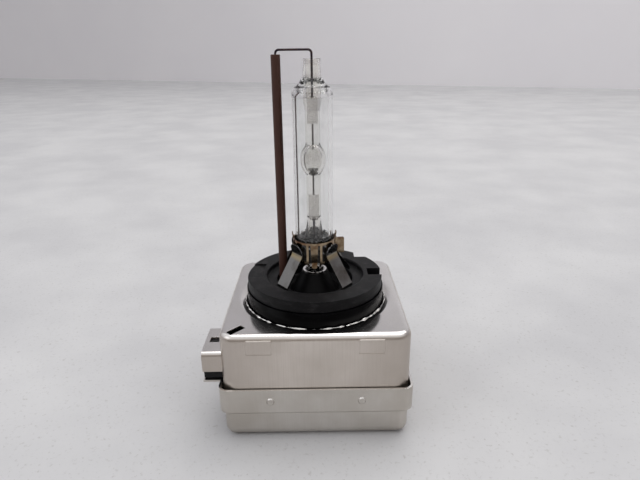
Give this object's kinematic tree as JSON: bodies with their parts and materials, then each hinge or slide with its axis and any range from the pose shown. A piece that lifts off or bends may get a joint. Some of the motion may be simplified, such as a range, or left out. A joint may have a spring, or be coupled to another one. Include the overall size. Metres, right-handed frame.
{
  "type": "headlight bulb",
  "caption": "Gas-discharge headlight bulb: a quartz burner held by a steel clamp on a black key-slotted flange, on a square metal igniter box with a side supply socket.",
  "frame": {"origin": "lamp axis at the upper face of the flange, the lamp's reference plane", "axes": "+Z along the lamp axis towards the glass tip; -X towards the supply socket; +Y away from the wall beside the corner slot"},
  "size_m": [0.046, 0.0426, 0.0808],
  "materials": {
    "quartz_glass": "clear polished",
    "tungsten": "matt grey",
    "molybdenum_foil": "bright foil",
    "lead_wire": "heat-darkened wire",
    "brown_ceramic": "matt fired",
    "clamp_steel": "heat-tinted spring steel",
    "strap_steel": "satin spring steel",
    "crown_metal": "bright matt",
    "flange_plastic": "fine moulded grain",
    "neck_plastic": "semi-gloss black",
    "can_metal": "satin pressed sheet",
    "lid_metal": "satin pressed sheet",
    "socket_plastic": "moulded",
    "contact_metal": "tinned brass",
    "board_laminate": "solder resist",
    "ferrite": "sintered",
    "bobbin_plastic": "moulded",
    "winding_copper": "enamelled wire",
    "gap_ceramic": "glazed",
    "component_body": "dipped resin"
  },
  "bodies": {
    "root": {"outer_envelope": "quartz_glass", "arc_tube": "quartz_glass", "upper_electrode": "tungsten", "lower_electrode": "tungsten", "upper_foil": "molybdenum_foil", "lower_foil": "molybdenum_foil", "upper_lead": "lead_wire", "lower_lead": "lead_wire", "return_wire": "lead_wire", "ceramic_tube": "brown_ceramic", "clamp_collar": "clamp_steel", "clamp_strap_1": "strap_steel", "clamp_strap_2": "strap_steel", "clamp_strap_3": "strap_steel", "clamp_strap_4": "strap_steel", "stem_crown": "crown_metal", "base_flange": "flange_plastic", "igniter_housing": "neck_plastic", "housing_cover": "socket_plastic", "upper_can": "can_metal", "lower_lid": "lid_metal", "connector_housing": "socket_plastic", "connector_pin_1": "contact_metal", "connector_pin_2": "contact_metal", "connector_pin_3": "contact_metal", "circuit_board": "board_laminate", "transformer_core": "ferrite", "transformer_bobbin": "bobbin_plastic", "secondary_section_1": "winding_copper", "secondary_section_2": "winding_copper", "secondary_section_3": "winding_copper", "secondary_section_4": "winding_copper", "secondary_section_5": "winding_copper", "primary_winding": "winding_copper", "high_voltage_terminal": "contact_metal", "return_terminal": "contact_metal", "spark_gap_barrel": "gap_ceramic", "spark_gap_cap_1": "contact_metal", "spark_gap_cap_2": "contact_metal", "ignition_capacitor": "component_body", "bleed_resistor": "component_body", "choke_core": "ferrite", "choke_winding": "winding_copper"}
  },
  "joints": []
}
